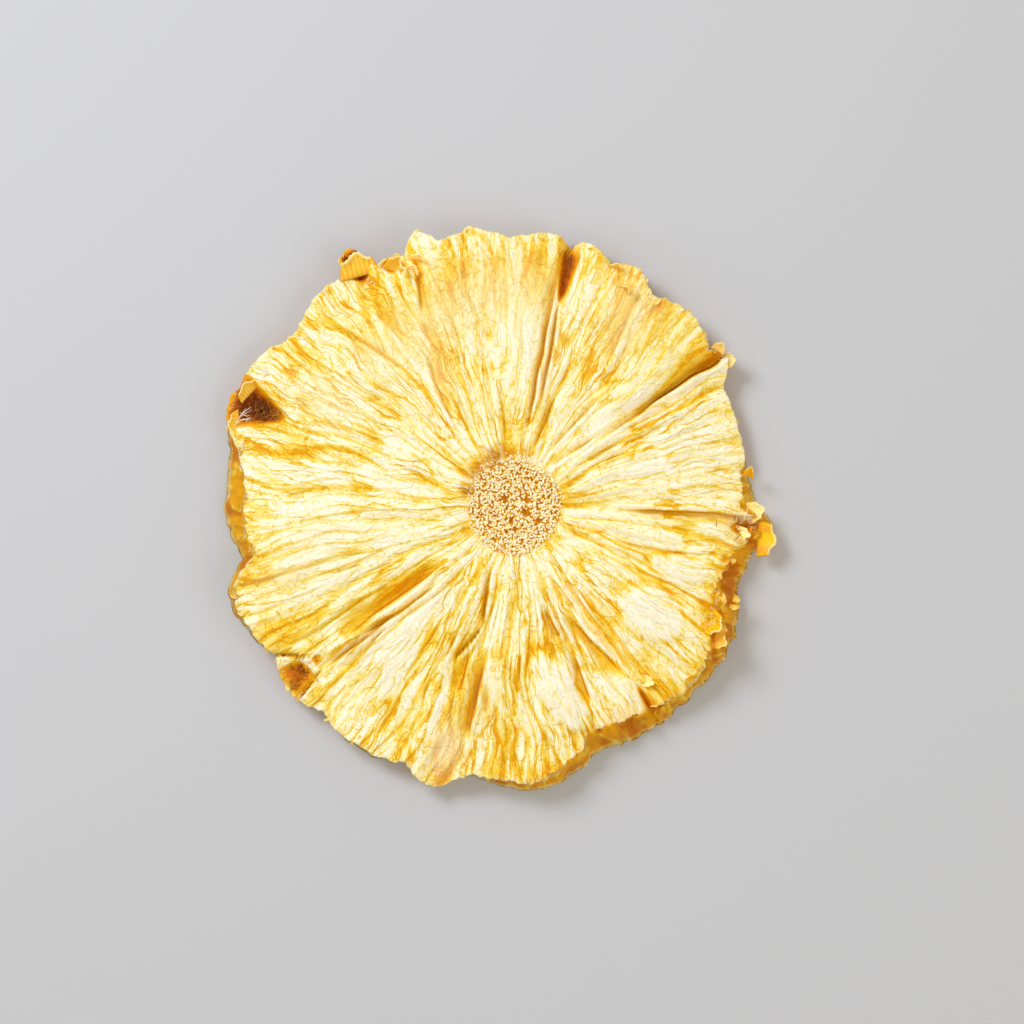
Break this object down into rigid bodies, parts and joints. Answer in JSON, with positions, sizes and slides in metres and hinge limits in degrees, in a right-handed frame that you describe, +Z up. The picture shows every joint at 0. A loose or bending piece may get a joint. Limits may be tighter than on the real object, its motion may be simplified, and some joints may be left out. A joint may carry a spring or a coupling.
{
  "type": "dried pineapple ring",
  "caption": "Round dried fruit slice with radial fibre pleats, a plump middle core and a frayed, scalloped, wavy rim with eye pits.",
  "frame": {"origin": "middle of the slice's outline, at the level of the surface that it lies on", "axes": "+Z up, square to the slice; +X to the right and +Y away from someone who looks down on its upper face"},
  "size_m": [0.0876, 0.0892, 0.0072],
  "materials": {
    "dried_flesh": "satin"
  },
  "bodies": {
    "root": {"pineapple_ring": "dried_flesh"}
  },
  "joints": []
}
